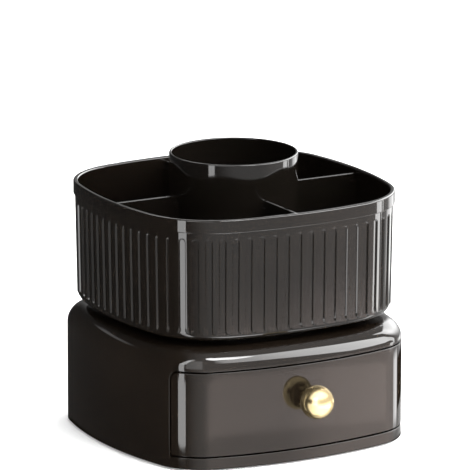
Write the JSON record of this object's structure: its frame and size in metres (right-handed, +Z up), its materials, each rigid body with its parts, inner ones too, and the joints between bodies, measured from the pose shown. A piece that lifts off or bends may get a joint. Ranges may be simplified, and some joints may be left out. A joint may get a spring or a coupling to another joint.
{
  "type": "rotating makeup organizer with drawer",
  "caption": "Desktop vanity organizer: a low base with a curved drawer and ball knob under a fluted rounded-square tray that turns on a ball race, with a brush cup and dividers.",
  "frame": {"origin": "on the tray's turning axis, in the plane of the base's underside; the rubber feet stand 1.5 mm below it", "axes": "+Z up along the turning axis; the drawer and its knob face -Y and the drawer opens along -Y; +X to the right of someone who faces the drawer from -Y"},
  "size_m": [0.22, 0.2477, 0.2125],
  "materials": {
    "gloss_black": "high-gloss moulded plastic, very dark warm grey to black",
    "matte_black": "fine-textured moulded plastic",
    "race_plastic": "smooth low-friction plastic",
    "steel": "zinc-plated steel",
    "gold": "polished pale gold metal",
    "rubber": "soft matte rubber"
  },
  "bodies": {
    "base": {"base_housing": "gloss_black", "base_bottom_plate": "matte_black", "bottom_plate_screws": "steel", "foot_front_left": "rubber", "foot_front_right": "rubber", "foot_rear_left": "rubber", "foot_rear_right": "rubber", "drawer_runner_left": "matte_black", "drawer_runner_right": "matte_black", "runner_screws": "steel", "turntable_lower_race": "race_plastic", "lower_race_screws": "steel"},
    "bearing_cage": {"ball_cage": "race_plastic", "bearing_balls": "steel"},
    "tray": {"rotating_tray": "gloss_black", "turntable_upper_race": "race_plastic", "upper_race_screws": "steel", "brush_cup": "gloss_black", "divider_front": "gloss_black", "divider_right": "gloss_black", "divider_rear": "gloss_black", "divider_left": "gloss_black", "pivot_washer": "steel", "pivot_screw": "steel"},
    "drawer": {"drawer_box": "gloss_black", "drawer_front": "gloss_black", "drawer_front_screws": "steel", "drawer_knob": "gold", "knob_screw": "steel"}
  },
  "joints": [
    {"name": "tray_spin", "type": "hinge", "parent": "base", "child": "tray", "pos_m": [0, 0, 0.09], "axis": [0, 0, 1], "continuous": true},
    {"name": "cage_spin", "type": "hinge", "parent": "base", "child": "bearing_cage", "pos_m": [0, 0, 0.09], "axis": [0, 0, 1], "continuous": true},
    {"name": "drawer_slide", "type": "slide", "parent": "base", "child": "drawer", "axis": [0, -1, 0], "range_m": [0, 0.135]}
  ],
  "couplings": [
    {"joint": "cage_spin", "follows": "tray_spin", "ratio": 0.5}
  ]
}
